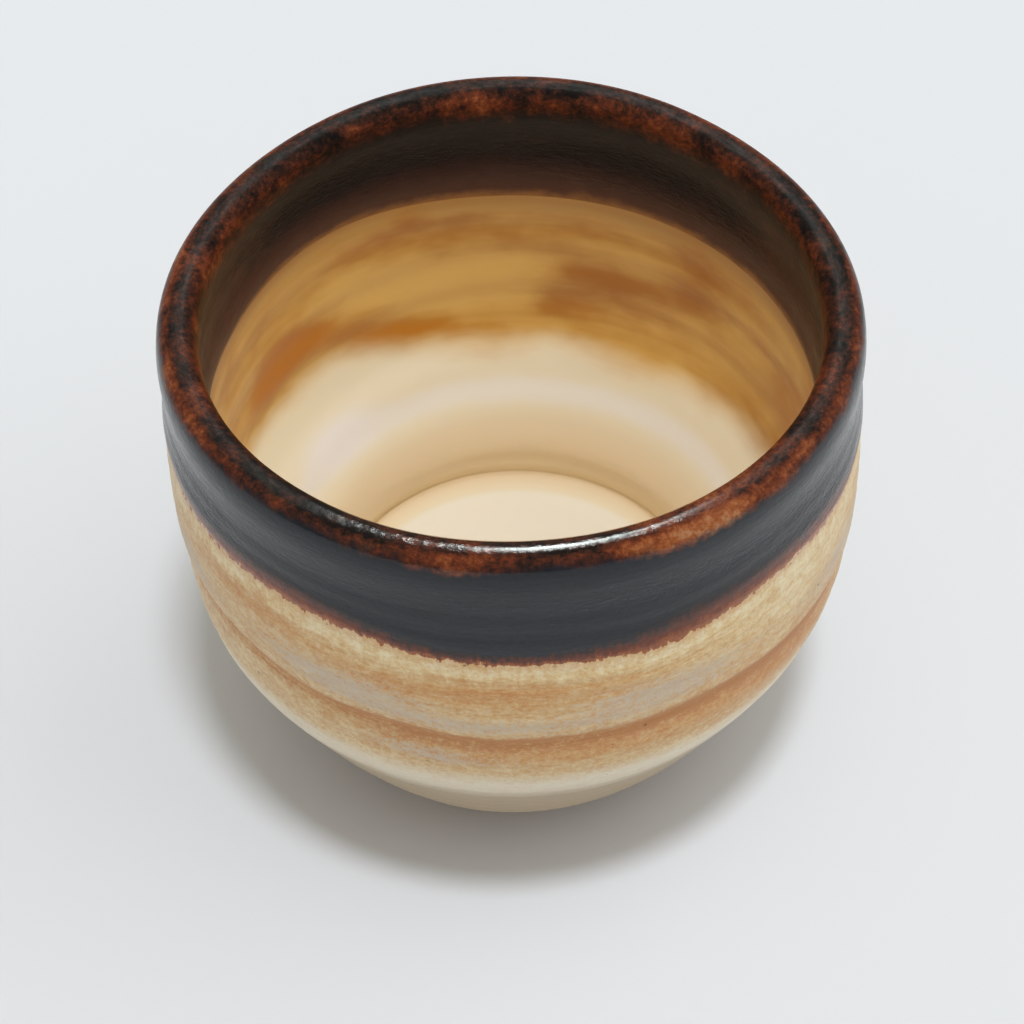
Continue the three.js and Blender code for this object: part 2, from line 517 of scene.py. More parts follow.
# The ragged lower edge of the dark dip, in millimetres
dipEdge = {
    "waver": 1.1,
    "teeth": 1.5,
    "fineTeeth": 0.8,
    "blur": 0.08,
    "fringe": 1.5,
    "wideFringe": 3.6,
    "fringeGrain": 1.3,
    "fringeStops": (0.05, 0.3, 0.8),
    "fringeEnd": (0.4, 1.1),
    "haze": 1.5,
    "hazeGrain": 3.0,
    "hazeShare": 0.55,
    "fleckDrop": (0.2, 1.3),
    "fleckShare": 0.7,
    "orange": tone(160, 84, 24),
    "rust": tone(106, 46, 14),
    "umber": tone(52, 32, 22),
    "wide": [
        (-62, 42.3, 9, 4, 1.0), (-38, 42.3, 14, 4, 1.0), (-128, 42.3, 11, 4, 1.1), (-155, 42.3, 8, 4, 0.5),
        (30, 42.3, 15, 4, 0.8), (100, 42.3, 20, 4, 0.7), (160, 42.3, 10, 4, 0.6),
    ],
    # clouds: scales per millimetre, shift, detail, roughness, twist
    "waverCloud": ((0.75, 0.75, 0.9), 3.0, 2.0),
    "teethCloud": ((1.7, 1.7, 0.7), 11.0, 2.0),
    "fineCloud": ((4.6, 4.6, 2.6), 13.0, 2.0),
    "fringeCloud": ((1.4, 1.4, 2.2), 31.0, 5.0, 0.75),
    "hazeCloud": ((2.2, 2.2, 1.6), 91.0, 4.0, 0.7),
    # spots: cells per millimetre, size, share of the cells, shift
    "fleckSpots": (1.3, 0.15, 0.45, 96.0),
}


def raggedEdge(finish, around, run):  # millimetres above the dark glaze's lower edge outside
    waver = finish.cloud(around, *dipEdge["waverCloud"])
    teeth = finish.cloud(around, *dipEdge["teethCloud"])
    fine = finish.cloud(around, *dipEdge["fineCloud"])
    ragged = waver * dipEdge["waver"] + teeth * dipEdge["teeth"] + fine * dipEdge["fineTeeth"]
    return edgeOutside - run + ragged


def fringed(finish, around, aboveEdge, wide, band):  # the dark glaze breaks to rust where it thins out
    grains = finish.cloud(around, *dipEdge["fringeCloud"])
    width = dipEdge["fringe"] + wide * (dipEdge["wideFringe"] - dipEdge["fringe"])
    share = (aboveEdge + grains * dipEdge["fringeGrain"]) / width
    rustTones = (dipEdge["orange"], dipEdge["rust"], dipEdge["umber"])
    rusty = finish.ramp(share, list(zip(dipEdge["fringeStops"], rustTones)))
    return finish.mix(finish.step(*dipEdge["fringeEnd"], share), rusty, band)


# Cream glaze outside, brushed in level streaks, with iron specks. It is orange brown where it is thin.
creamCoat = {
    "brown": tone(195, 132, 72),
    "orange": tone(206, 150, 88),
    "tan": tone(213, 172, 116),
    "cream": tone(227, 199, 148),
    "pale": tone(238, 222, 184),
    # lilac grey: partly the glaze's own milky colour, partly a painted sheen above the groove
    "lilacAndSheen": tone(199, 185, 169),
    # a painted highlight on the hip, low on the belly
    "hip": tone(237, 228, 212),
    # painted shade where the wall turns under
    "underside": tone(166, 142, 108),
    "speck": tone(66, 42, 28),
    "coat": 0.35,
    "thinnest": 0.02,
    "bead": 0.5,
    "rowSpacing": 0.5,
    "toneStops": (0.0, 0.2, 0.4, 0.62, 0.85),
    # millimetres above the groove where each zone begins and ends
    "stripeFoot": (-2.0, -0.2),
    "stripeTop": (0.9, 1.5),
    "dipFoot": (8.2, 12.2),
    "hipHighlightTop": (-8.0, -4.4),
    "undersideTop": (-14.5, -8.6),
    # how strongly each zone shows
    "lilacAndSheenShare": 0.75,
    "hipHighlightShare": 0.6,
    "undersideShare": 0.75,
    "speckShare": 0.85,
    "fineSpeckShare": 0.7,
    "roughness": 0.42,
    "unevenRoughness": 0.4,
    "peel": 0.6,
    "relief": 0.08,
    "lilacAndSheenPatches": [
        (-120, 34.2, 12, 1.7, 1.0), (-66, 34.2, 11, 1.8, 1.0), (-95, 32.2, 16, 0.9, 0.8),
        (-158, 33.4, 9, 2, 0.9), (-22, 33.6, 12, 2, 0.9), (30, 34, 14, 2, 0.8), (90, 33.5, 16, 1.8, 0.9),
        (150, 34, 12, 2, 0.7), (-104, 26.4, 10, 0.9, 0.8),
    ],
    "ochrePatches": [
        (-137, 38.6, 10, 1.2, 1.0), (-92, 37.6, 16, 1.6, 1.1), (-112, 36.4, 8, 1.0, 0.5),
        (-40, 37.4, 12, 1.6, -0.7), (-107, 28.4, 11, 1.5, 0.9), (-84, 27.8, 10, 1.4, 0.8),
        (-56, 28.2, 15, 2.0, 1.3), (-34, 27.6, 10, 2.0, 1.0), (60, 38, 18, 1.4, 0.8),
        (130, 37, 14, 1.6, 0.8), (40, 27.5, 16, 1.6, 1.0), (110, 28, 16, 1.4, 0.9),
    ],
    # clouds: scales per millimetre, shift, detail, roughness, twist
    "driftCloud": ((0.05, 0.05, 0.3), 6.0, 3.0, 0.6),
    "wispsCloud": ((0.1, 0.1, 1.5), 16.0, 4.0, 0.65),
    "streakCloud": ((0.14, 0.14, 2.4), 26.0, 5.0, 0.7),
    "grainsCloud": ((1.7, 1.7, 2.1), 36.0, 5.0, 0.75),
    "mottleCloud": ((0.45, 0.45, 0.9), 43.0, 5.0, 0.7, 0.4),
    "dripsCloud": ((1.1, 1.1, 0.22), 33.0, 3.0, 0.6),
    "fineCloud": ((3.0, 3.0, 4.6), 53.0, 4.0, 0.75),
    "satinCloud": ((0.2, 0.2, 2.4), 66.0, 3.0),
    "peelCloud": ((1.3, 1.3, 1.8), 76.0, 4.0, 0.6),
    "brushedCloud": ((0.16, 0.16, 2.6), 86.0, 4.0, 0.65),
    # spots: cells per millimetre, size, share of the cells, shift
    "speckSpots": (0.24, 0.16, 0.5, 46.0),
    "fineSpeckSpots": (0.8, 0.09, 0.25, 56.0),
}


def creamTones(finish, around, run, lilacAndSheen, ochre):
    aboveGroove = grooveRun - run
    drift = finish.cloud(around, *creamCoat["driftCloud"])
    wisps = finish.cloud(around, *creamCoat["wispsCloud"])
    streak = finish.cloud(around, *creamCoat["streakCloud"])
    grains = finish.cloud(around, *creamCoat["grainsCloud"])
    mottle = finish.cloud(around, *creamCoat["mottleCloud"])
    drips = finish.cloud(around, *creamCoat["dripsCloud"])
    fine = finish.cloud(around, *creamCoat["fineCloud"])
    level = aboveGroove + drift * 2.4 + wisps * 1.6
    stripeFoot = aboveGroove + wisps * 2.6 + drift * 1.5 - grains * 2.0
    stripeTop = aboveGroove + wisps + grains * 0.8
    onStripe = finish.step(*creamCoat["stripeFoot"], stripeFoot)
    onStripe = onStripe * (1 - finish.step(*creamCoat["stripeTop"], stripeTop))
    underDip = finish.step(*creamCoat["dipFoot"], level + drips * 5.0)
    # onHip marks the hip, where a highlight is painted
    onHip = 1 - finish.step(*creamCoat["hipHighlightTop"], level)

    # The glaze is paler where it is thick, and paler still on the hip, where a highlight is painted
    thick = 0.5 + underDip * 0.22 + onHip * 0.22 - onStripe * 0.36 - ochre * 0.26
    thick = thick + streak * (0.2 + onStripe * 0.9) + grains + mottle * 0.85 + wisps * 0.25
    thick = thick + drips * underDip * 0.4 + fine * 0.5
    tones = [creamCoat[name] for name in ("brown", "orange", "tan", "cream", "pale")]
    colour = finish.ramp(thick, list(zip(creamCoat["toneStops"], tones)))

    # lilac streaks: partly the glaze's colour and partly painted sheen
    milkyAndSheen = finish.step(0.2, 1.1, lilacAndSheen + grains * 1.6 + fine * 2.6 + streak)
    colour = finish.mix(milkyAndSheen * creamCoat["lilacAndSheenShare"], colour, creamCoat["lilacAndSheen"])
    colour = finish.mix(onHip * creamCoat["hipHighlightShare"], colour, creamCoat["hip"])
    # painted shade where the wall turns under, darker towards the bottom
    underside = 1 - finish.step(*creamCoat["undersideTop"], aboveGroove + drift * 3.0)
    colour = finish.mix(underside * creamCoat["undersideShare"], colour, creamCoat["underside"])
    specks = finish.specks(around, *creamCoat["speckSpots"]) * creamCoat["speckShare"]
    colour = finish.mix(specks, colour, creamCoat["speck"])
    fineSpecks = finish.specks(around, *creamCoat["fineSpeckSpots"]) * creamCoat["fineSpeckShare"]
    return finish.mix(fineSpecks, colour, creamCoat["speck"])


def hazed(finish, around, aboveEdge, colour):  # iron bleeds from the dark edge into the cream below it
    grains = finish.cloud(around, *dipEdge["hazeCloud"])
    near = 1 - finish.step(0.0, dipEdge["haze"], grains * dipEdge["hazeGrain"] - aboveEdge)
    colour = finish.mix(near * dipEdge["hazeShare"], colour, creamCoat["orange"])
    flecks = finish.specks(around, *dipEdge["fleckSpots"])
    flecks = flecks * (1 - finish.step(*dipEdge["fleckDrop"], 0 - aboveEdge))
    return finish.mix(flecks * dipEdge["fleckShare"], colour, dipEdge["rust"])


def creamGlaze():
    finish = Finish(bpy.data.materials.new("creamGlaze"))
    around = finish.wrapped()
    run = finish.part(around, 2)
    aboveEdge = raggedEdge(finish, around, run)
    wide, lilacAndSheen, ochre = (finish.part(finish.patches(), k) for k in (0, 1, 2))
    colour = creamTones(finish, around, run, lilacAndSheen, ochre)
    colour = hazed(finish, around, aboveEdge, colour)
    dark = fringed(finish, around, aboveEdge, wide, darkDip["charcoal"])
    colour = finish.mix(finish.step(-dipEdge["blur"], dipEdge["blur"], aboveEdge), colour, dark)
    satin = finish.cloud(around, *creamCoat["satinCloud"])
    roughness = creamCoat["roughness"] + satin * creamCoat["unevenRoughness"]
    peel = finish.cloud(around, *creamCoat["peelCloud"])
    brushed = finish.cloud(around, *creamCoat["brushedCloud"])
    height = peel * creamCoat["peel"] + brushed
    return finish.surface(colour, roughness, height, creamCoat["relief"], IOR=glazeIor)


# Dark iron glaze: charcoal outside, broken to rust over the lip, brown black inside
darkDip = {
    "charcoal": tone(18, 21, 27),
    "slate": tone(29, 33, 40),
    "deepBrown": tone(28, 19, 20),
    "innerBrown": tone(90, 57, 45),
    "innerRust": tone(80, 44, 31),
    "lipDark": tone(20, 14, 12),
    "lipBrown": tone(60, 31, 20),
    "lipRust": tone(108, 50, 26),
    "lipOrange": tone(152, 86, 46),
    "lipTan": tone(168, 120, 84),
    "lipGreen": tone(50, 49, 40),
    "lipOutside": 1.5,
    "lipInside": 2.5,
    "coat": 0.5,
    "edgeCoat": 0.35,
    "edgeRoll": 0.7,
    "rowSpacing": 0.36,
    "crestBlur": 0.6,  # outside turns to inside over this many millimetres each way from the crest
    "innerFade": (0.0, 6.4),  # millimetres above the lower edge inside
    "innerEdge": (-0.3, 1.3),
    "lipFadeOutside": (-0.6, 0.5),  # millimetres from lipOutside
    "lipFadeInside": (-1.1, 1.1),  # and from lipInside
    "lipStops": (0.14, 0.34, 0.58, 0.84, 1.0),
    "glossyFront": (-31.5, -26.0),  # the lip is glossy only towards the front of the cup
    "roughness": 0.46,
    "smootherBand": 0.14,
    "smootherLip": 0.32,
    "unevenRoughness": 0.3,
    "gloss": 0.4,
    "glossRoughness": 0.12,
    "ior": 1.3,  # low, because the gloss is a layer of its own
    "relief": 0.1,
    "rustyLip": [
        (-42, 53, 12, 4, 0.25), (-103, 53, 10, 4, 0.35), (-158, 52, 14, 5, 0.35), (-18, 53, 14, 4, 0.1),
        (-58, 53, 7, 4, 0.8), (-69, 53, 5, 4, 0.4), (-83, 53, 6, 4, -0.2), (-128, 53, 13, 4, -0.3),
        (10, 53, 12, 4, -0.2), (55, 53, 14, 4, 0.1), (90, 52, 14, 4, 0.15), (118, 53, 12, 4, -0.1),
        (165, 53, 10, 4, 0.1), (18, 45, 15, 5, 0.7), (165, 46, 16, 5, 0.5),
    ],
    "pitted": [
        (-25, 46.5, 14, 2.5, 1.0), (-155, 46.5, 14, 2.5, 0.8), (-70, 48.5, 25, 2.0, 0.4),
        (60, 46, 25, 2.5, 0.8), (130, 47, 20, 2.5, 0.7),
    ],
    # clouds: scales per millimetre, shift, detail, roughness, twist
    "streakCloud": ((0.08, 0.08, 1.6), 21.0, 4.0, 0.6),
    "toothCloud": ((1.8, 1.8, 2.6), 23.0, 4.0, 0.7),
    "mottleCloud": ((0.2, 0.2, 0.5), 2.0, 5.0, 0.65, 0.5),
    "innerWaverCloud": ((0.35, 0.35, 0.6), 8.0, 4.0, 0.6),
    "waverCloud": ((0.22, 0.22, 0.22), 14.0, 3.0, 0.6),
    "dripsCloud": ((0.9, 0.9, 0.7), 19.0, 4.0, 0.65),
    "fleckCloud": ((1.6, 1.6, 2.8), 17.0, 5.0, 0.75),
    "greenishCloud": ((0.18, 0.18, 0.5), 37.0, 4.0),
    "satinCloud": ((0.5, 0.5, 2.2), 41.0, 3.0),
    "peelCloud": ((1.4, 1.4, 2.0), 51.0, 3.0, 0.6),
    "beadsCloud": ((0.8, 0.8, 0.8), 55.0, 1.0),
    "brushedCloud": ((0.28, 0.28, 1.9), 61.0, 3.0, 0.6),
    "wrinklesCloud": ((0.7, 0.7, 2.4), 81.0, 4.0, 0.65),
    # spots: cells per millimetre, size, share of the cells, shift
    "pitSpots": (1.5, 0.2, 0.7, 71.0),
}


def darkGlaze():
    finish = Finish(bpy.data.materials.new("darkGlaze"))
    around = finish.wrapped()
    run = finish.part(around, 2)
    wide, rusty, pitted = (finish.part(finish.patches(), k) for k in (0, 1, 2))
    outside = finish.step(-darkDip["crestBlur"], darkDip["crestBlur"], run)
    aboveEdge = raggedEdge(finish, around, run)
    streak = finish.cloud(around, *darkDip["streakCloud"])
    tooth = finish.cloud(around, *darkDip["toothCloud"])
    slaty = finish.step(-0.25, 0.3, streak + tooth * 0.6)
    band = finish.mix(slaty, darkDip["charcoal"], darkDip["slate"])
    band = fringed(finish, around, aboveEdge, wide, band)
    below = hazed(finish, around, aboveEdge, creamTones(finish, around, run, 0.0, 0.0))
    band = finish.mix(finish.step(-dipEdge["blur"], dipEdge["blur"], aboveEdge), below, band)

    # Down the inside, rusty in places
    mottle = finish.cloud(around, *darkDip["mottleCloud"])
    innerWaver = finish.cloud(around, *darkDip["innerWaverCloud"])
    aboveInner = run - edgeInside + innerWaver * 1.6
    deep = finish.step(*darkDip["innerFade"], aboveInner)
    inner = finish.mix(deep, darkDip["innerBrown"], darkDip["deepBrown"])
    inner = finish.mix(finish.step(0.1, 0.7, rusty + mottle * 1.2) * 0.7, inner, darkDip["innerRust"])
    inner = finish.mix(finish.step(*darkDip["innerEdge"], aboveInner), amberLiner["edge"], inner)

    # Over the lip, darker along the crest and rusty down its shoulders
    waver = finish.cloud(around, *darkDip["waverCloud"])
    drips = finish.cloud(around, *darkDip["dripsCloud"])
    lipEnd = run + waver * 1.6 + drips * 1.6 - rusty * 0.7 - darkDip["lipOutside"]
    lipFoot = run + waver * 4.0 + drips * 1.6 + darkDip["lipInside"]
    onLip = 1 - finish.step(*darkDip["lipFadeOutside"], lipEnd)
    onLip = onLip * finish.step(*darkDip["lipFadeInside"], lipFoot)
    outer = finish.step(0.4, 1.1, run)
    inward = finish.step(0.3, 1.5, 0 - run)
    fleck = finish.cloud(around, *darkDip["fleckCloud"])
    rust = mottle * 1.3 + drips * 0.3 + fleck * 1.1 + outer * 0.28 + inward * 0.16 + rusty * 0.4 + 0.22
    tones = [darkDip[name] for name in ("lipDark", "lipBrown", "lipRust", "lipOrange", "lipTan")]
    lip = finish.ramp(rust, list(zip(darkDip["lipStops"], tones)))
    greenish = finish.step(0.08, 0.22, finish.cloud(around, *darkDip["greenishCloud"]) - rusty * 0.4)
    lip = finish.mix(greenish * finish.step(-1.2, 0.2, run) * 0.5, lip, darkDip["lipGreen"])

    colour = finish.mix(onLip, finish.mix(outside, inner, band), lip)
    satin = finish.cloud(around, *darkDip["satinCloud"])
    onBand = outside * (1 - onLip)
    glossy = onLip * (1 - finish.step(*darkDip["glossyFront"], finish.part(around, 1)))
    roughness = darkDip["roughness"] - onBand * darkDip["smootherBand"] - glossy * darkDip["smootherLip"]
    roughness = roughness + satin * darkDip["unevenRoughness"]
    peel = finish.cloud(around, *darkDip["peelCloud"])
    beads = finish.cloud(around, *darkDip["beadsCloud"])
    brushed = finish.cloud(around, *darkDip["brushedCloud"])
    pits = finish.specks(around, *darkDip["pitSpots"]) * finish.step(0.2, 0.7, pitted + streak * 0.8)
    wrinkles = finish.cloud(around, *darkDip["wrinklesCloud"]) * finish.step(0.2, 0.8, pitted)
    bandRelief = brushed * 0.4 + wrinkles * 4.5
    height = peel * 0.4 + beads * onLip * 0.6 + bandRelief * (1 - onLip) - pits * 1.1
    gloss = (onBand + glossy) * darkDip["gloss"]
    return finish.surface(
        colour, roughness, height, darkDip["relief"], IOR=darkDip["ior"],
        Coat_Weight=gloss, Coat_IOR=glazeIor, Coat_Roughness=darkDip["glossRoughness"],
    )


# Cream glaze inside, with amber where it pooled on the wall, and painted highlight and shade below it
amberLiner = {
    "tan": tone(206, 148, 62),
    "light": tone(239, 196, 110),
    "amber": tone(202, 124, 28),
    "brown": tone(174, 100, 10),
    "edge": tone(168, 116, 64),
    "cream": tone(250, 239, 207),
    "floor": tone(253, 249, 230),
    # painted shade, tan, on the steep wall of the well
    "ring": tone(243, 220, 180),
    # a painted highlight along the ridge above the well
    "ridge": tone(252, 248, 240),
    "coat": 0.35,
    "rowSpacing": 0.6,
    "wallFoot": (21.4, 25.0),  # heights where the amber wall begins
    "dipFade": (-0.2, 3.0),  # millimetres below the dark dip
    "wellFoot": (-0.6, 2.0),  # millimetres from the floor's edge
    "wellTop": (0.0, 4.5),  # and from the top of the well
    "floorFade": (-1.0, 0.0),
    "ridgeHighlightFade": (0.3, 2.2),
    "brownShare": 0.8,
    "amberShare": 0.9,
    "ringShare": 0.9,
    "ridgeHighlightShare": 0.6,
    "dipShare": 0.7,
    "roughness": 0.34,
    "unevenRoughness": 0.2,
    "relief": 0.04,
    "edgeLifts": [
        (155, 27, 16, 40, 1.2), (128, 27, 9, 40, 1.2), (95, 27, 15, 40, -1.9), (60, 27, 11, 40, -2.0),
        (38, 27, 12, 40, -0.9), (-90, 27, 30, 40, 2.0),
    ],
    "amberStainsAndHighlight": [
        (150, 28.9, 6, 1.6, 0.8), (142, 30.8, 7, 2.1, 1.2), (133, 29.8, 6, 1.7, 0.8),
        (125, 27.2, 6, 1.3, 0.7), (117, 25.4, 6, 1.0, 0.8), (108, 24.2, 6, 0.9, 0.8),
        # the negative patch at 141 degrees, 18.5 mm lies on the shelf and paints a highlight there
        (99, 23.0, 6, 0.8, 0.6), (126, 36.8, 9, 1.3, 0.7), (141, 18.5, 11, 1.3, -1.3),
        (105, 29, 10, 2.6, -1.4), (126, 32, 9, 2.0, -0.9), (16, 30.0, 9, 4.0, 0.5),
        (-60, 29, 14, 1.5, 0.7), (-120, 27, 16, 1.4, 0.6),
    ],
    "brownStains": [
        (81, 25.6, 5, 1.8, 0.45), (78, 28.6, 5, 1.8, 0.45), (74, 31.0, 6, 1.5, 0.6),
        (66, 30.2, 6, 1.4, 0.6), (58, 30.8, 6, 1.4, 0.65), (50, 32.2, 5, 1.5, 0.65),
        (50, 36.0, 5, 1.6, 0.55), (65, 25.6, 6, 1.4, 0.5), (41, 32.6, 6, 1.2, 0.45),
        (30, 32.6, 8, 1.2, 0.45), (20, 33.8, 6, 1.3, 0.45),
        (88, 36.4, 20, 1.0, 0.45), (110, 38.5, 18, 1.2, 0.35), (55, 38.6, 18, 1.2, 0.2),
        (-90, 33, 20, 1.2, 0.6),
    ],
    # clouds: scales per millimetre, shift, detail, roughness, twist
    "driftCloud": ((0.08, 0.08, 0.16), 4.0, 3.0, 0.55),
    "ringsCloud": ((0.035, 0.035, 0.45), 44.0, 3.0),
    "satinCloud": ((0.2, 0.2, 0.4), 7.0, 2.0),
    "peelCloud": ((0.22, 0.22, 0.22), 9.0, 1.0),
}


def linerGlaze():
    finish = Finish(bpy.data.materials.new("linerGlaze"))
    around = finish.wrapped()
    run = finish.part(around, 2)
    place = finish.inPlace()
    level = finish.part(place, 2)
    lift, amber, brown = (finish.part(finish.patches(), k) for k in (0, 1, 2))
    drift = finish.cloud(place, *amberLiner["driftCloud"])
    rings = finish.cloud(around, *amberLiner["ringsCloud"])
    pooled = finish.step(-0.25, 0.25, rings * 0.4 + drift * 0.8 + amber * 0.3)
    wall = finish.mix(pooled, amberLiner["light"], amberLiner["tan"])
    browned = finish.step(0.05, 1.1, brown + drift * 1.6 + rings * 0.3)
    wall = finish.mix(browned * amberLiner["brownShare"], wall, amberLiner["brown"])
    stained = finish.step(0.05, 1.1, amber + drift * 1.4)
    wall = finish.mix(stained * amberLiner["amberShare"], wall, amberLiner["amber"])

    # Below the wall: the ridge with a painted highlight, the well with painted shade on its wall, and the
    # floor
    fromRidge = run - fromCrest(marks["shelf"])
    fromWell = run - fromCrest(marks["wellTop"])
    fromFloor = run - fromCrest(marks["floorEdge"])
    # painted shade on the well wall and up onto the foot of the shelf
    onWellShade = finish.step(*amberLiner["wellFoot"], fromFloor)
    onWellShade = onWellShade * (1 - finish.step(*amberLiner["wellTop"], fromWell))
    offFloor = finish.step(*amberLiner["floorFade"], fromFloor)
    low = finish.mix(offFloor, amberLiner["floor"], amberLiner["cream"])
    low = finish.mix(onWellShade * amberLiner["ringShare"], low, amberLiner["ring"])
    # painted highlight along the ridge
    onRidgeHighlight = 1 - finish.step(*amberLiner["ridgeHighlightFade"], abs(fromRidge + drift * 2.0))
    low = finish.mix(onRidgeHighlight * amberLiner["ridgeHighlightShare"], low, amberLiner["ridge"])
    # painted highlight on the shelf where the amber patches are negative
    low = finish.mix(finish.step(0.1, 1.2, 0 - amber), low, amberLiner["ridge"])

    onWall = finish.step(*amberLiner["wallFoot"], level - lift + drift * 3.0)
    colour = finish.mix(onWall, low, wall)
    underDip = 1 - finish.step(*amberLiner["dipFade"], edgeInside - run + drift * 3.0)
    colour = finish.mix(underDip * amberLiner["dipShare"], colour, amberLiner["edge"])
    satin = finish.cloud(place, *amberLiner["satinCloud"])
    roughness = amberLiner["roughness"] + satin * amberLiner["unevenRoughness"]
    peel = finish.cloud(place, *amberLiner["peelCloud"])
    return finish.surface(colour, roughness, peel, amberLiner["relief"], IOR=glazeIor)


# Bare fired clay
bareClay = {
    "light": tone(178, 144, 108),
    "dark": tone(146, 110, 76),
    "speck": tone(80, 54, 36),
    "speckShare": 0.8,
    "roughness": 0.82,
    "unevenRoughness": 0.2,
    "relief": 0.12,
    "rowSpacing": 1.2,
    "heelSpacing": 0.5,  # rows where the clay shows
    # clouds: scales per millimetre, shift, detail, roughness, twist
    "patchesCloud": ((0.25, 0.25, 0.5), 1.0, 5.0, 0.65),
    "gritCloud": ((2.2, 2.2, 2.2), 3.0, 4.0, 0.7),
    # spots: cells per millimetre, size, share of the cells, shift
    "speckSpots": (0.6, 0.16, 0.35, 2.0),
}


def clayFinish(name, light, dark):
    finish = Finish(bpy.data.materials.new(name))
    place = finish.inPlace()
    patches = finish.cloud(place, *bareClay["patchesCloud"])
    colour = finish.mix(finish.step(-0.2, 0.2, patches), dark, light)
    specks = finish.specks(place, *bareClay["speckSpots"]) * bareClay["speckShare"]
    colour = finish.mix(specks, colour, bareClay["speck"])
    grit = finish.cloud(place, *bareClay["gritCloud"])
    roughness = bareClay["roughness"] + grit * bareClay["unevenRoughness"]
    return finish.surface(colour, roughness, grit, bareClay["relief"])


darkMaterial = darkGlaze()
creamMaterial = creamGlaze()
linerMaterial = linerGlaze()
clayMaterial = clayFinish("bareClay", bareClay["light"], bareClay["dark"])
print("finishes made")

heel, dipOut, dipIn = marks["heel"], marks["dipOutside"], marks["dipInside"]
backSpacing = 2.0  # rows on hidden faces


def coatSection(first, last, spacing, thickness):  # outer face, then back along the clay
    section = []
    for place in rowsBetween(first, last, spacing):
        section.append((place, thickness(place), 1 if place in (first, last) else 0))
    for place in reversed(rowsBetween(first, last, backSpacing)):
        section.append((place, 0.0, 1 if place in (first, last) else 0))
    return section


def darkThickness(place):
    roll = min(abs(fromCrest(place) - edgeOutside), abs(fromCrest(place) - edgeInside))
    return between(darkDip["edgeCoat"], darkDip["coat"], easeStep(0.0, darkDip["edgeRoll"], roll))


def creamThickness(place):
    fromHeel = min((heelRun - fromCrest(place)) / creamCoat["bead"], 1.0)
    return max(creamCoat["thinnest"], creamCoat["coat"] * math.sqrt(1 - (1 - fromHeel) ** 2))


rim = coatSection(dipOut, dipIn, darkDip["rowSpacing"], darkThickness)
rim = spinSection(rim, True, [dipEdge["wide"], darkDip["rustyLip"], darkDip["pitted"]])
finishPiece(rim, "darkDip", "rim_glaze", darkMaterial)
wall = coatSection(heel, dipOut, creamCoat["rowSpacing"], creamThickness)
wall = spinSection(wall, True, [dipEdge["wide"], creamCoat["lilacAndSheenPatches"], creamCoat["ochrePatches"]])
finishPiece(wall, "creamCoat", "body_glaze", creamMaterial)
liner = coatSection(dipIn, lastKnot, amberLiner["rowSpacing"], lambda place: amberLiner["coat"])
linerPatches = [amberLiner[name] for name in ("edgeLifts", "amberStainsAndHighlight", "brownStains")]
liner = spinSection(liner, True, linerPatches)
finishPiece(liner, "amberLiner", "liner_glaze", linerMaterial)

# The clay shows between the foot and the heel, and its underside closes it
clayRows = rowsBetween(0, heel, bareClay["heelSpacing"])[:-1]
clayRows += rowsBetween(heel, lastKnot, bareClay["rowSpacing"])
clay = spinSection([(place, 0.0, 1 if place == 0 else 0) for place in clayRows], False)
rimEdges = [edge for edge in clay.edges if edge.is_boundary]
bmesh.ops.holes_fill(clay, edges=rimEdges, sides=0)
finishPiece(clay, "thrownClay", "clay_body", clayMaterial)

# The foot ring, turned on the wheel and left bare
turnedFoot = {
    "diameter": thrown["footDiameter"],
    "height": thrown["footHeight"],
    "flare": thrown["footFlare"],
    "width": 3.8,
    "chamfer": 0.5,
    "rounding": 0.2,
    "roundingSteps": 3,
    "levelWithin": 1e-4,
    "roundWithin": 1e-3,
    "light": tone(170, 136, 100),
    "dark": tone(138, 102, 70),
}


def turnFoot(size):
    bm = bmesh.new()
    outer = size["diameter"] / 2
    inner = outer - size["width"]
    loop = [
        (inner + size["chamfer"], 0.0), (outer - size["chamfer"], 0.0), (outer, size["chamfer"]),
        (outer + size["flare"], size["height"]), (inner - size["flare"] / 2, size["height"]),
        (inner, size["chamfer"]),
    ]
    verts = [bm.verts.new((radius, 0.0, height)) for radius, height in loop]
    for k, vert in enumerate(verts):
        bm.edges.new((vert, verts[(k + 1) % len(verts)]))
    bmesh.ops.spin(
        bm, geom=bm.verts[:] + bm.edges[:], cent=(0, 0, 0), axis=(0, 0, 1), angle=fullTurn,
        steps=thrown["spinSteps"], use_merge=True,
    )
    bmesh.ops.remove_doubles(bm, verts=bm.verts, dist=mergeDistance)
    low = []  # the level edges round the bottom
    for edge in bm.edges:
        start, end = (vert.co for vert in edge.verts)
        isLevel = abs(start.z - end.z) < size["levelWithin"]
        isRound = abs(start.xy.length - end.xy.length) < size["roundWithin"]
        if isLevel and isRound and start.z < size["height"] / 2:
            low.append(edge)
    bmesh.ops.bevel(
        bm, geom=low, offset=size["rounding"], affect="EDGES", segments=size["roundingSteps"],
        profile=0.5, material=-1,
    )
    return bm


footMaterial = clayFinish("footClay", turnedFoot["light"], turnedFoot["dark"])
finishPiece(turnFoot(turnedFoot), "turnedFoot", "foot_ring", footMaterial)

